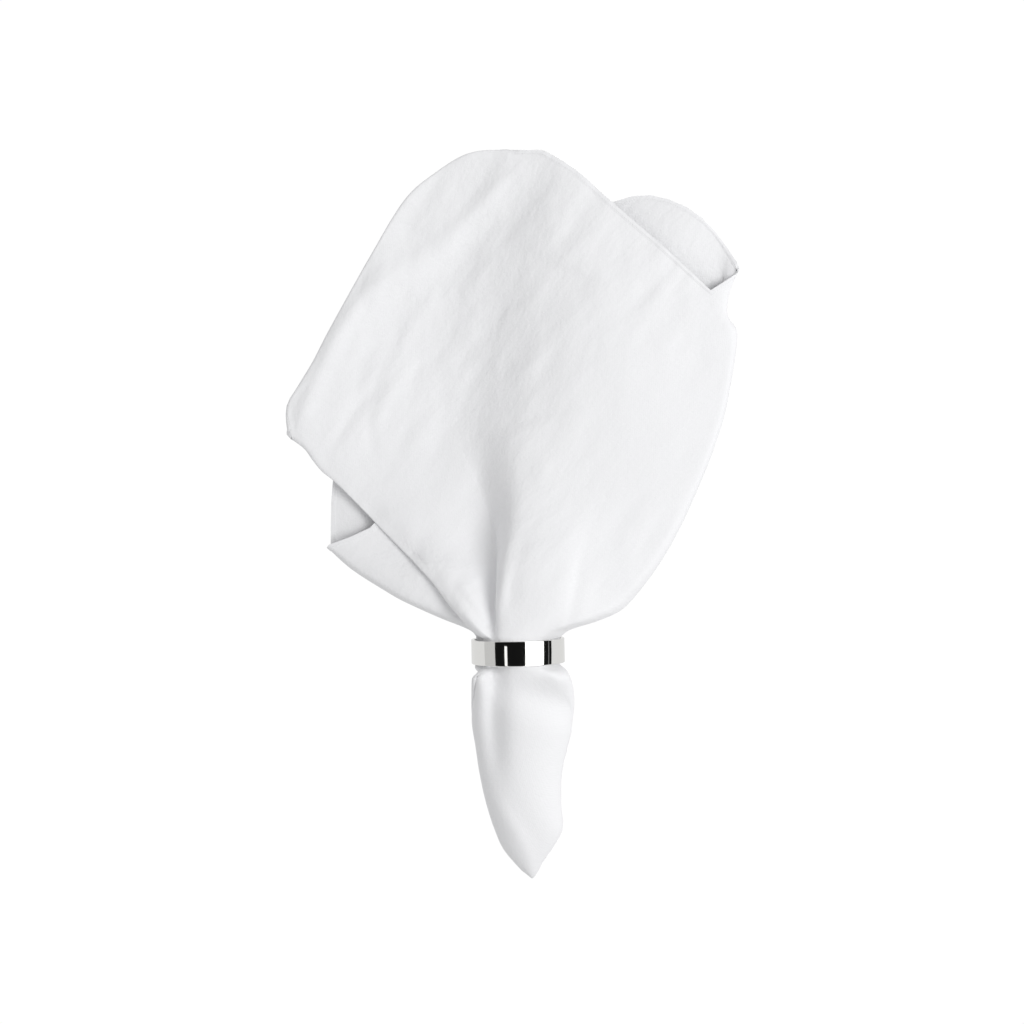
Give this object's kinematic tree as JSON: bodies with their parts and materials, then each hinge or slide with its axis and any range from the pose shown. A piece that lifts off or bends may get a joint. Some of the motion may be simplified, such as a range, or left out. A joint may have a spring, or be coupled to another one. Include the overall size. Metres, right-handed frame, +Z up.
{
  "type": "napkin in a ring",
  "caption": "Square linen napkin gathered through a narrow polished metal ring, lying on its back, with a loose fan in front of the ring and a soft tail behind it.",
  "frame": {"origin": "middle of the underside of the whole thing, on the surface that it lies on", "axes": "+X to the right and +Y along the ring's axis towards the open fan, both seen from above; +Z up from the surface"},
  "size_m": [0.2064, 0.3348, 0.042],
  "materials": {
    "linen": "washed plain weave, matt, with soft creases",
    "metal": "mirror polished"
  },
  "bodies": {
    "root": {"napkin": "linen", "ring": "metal"}
  },
  "joints": []
}
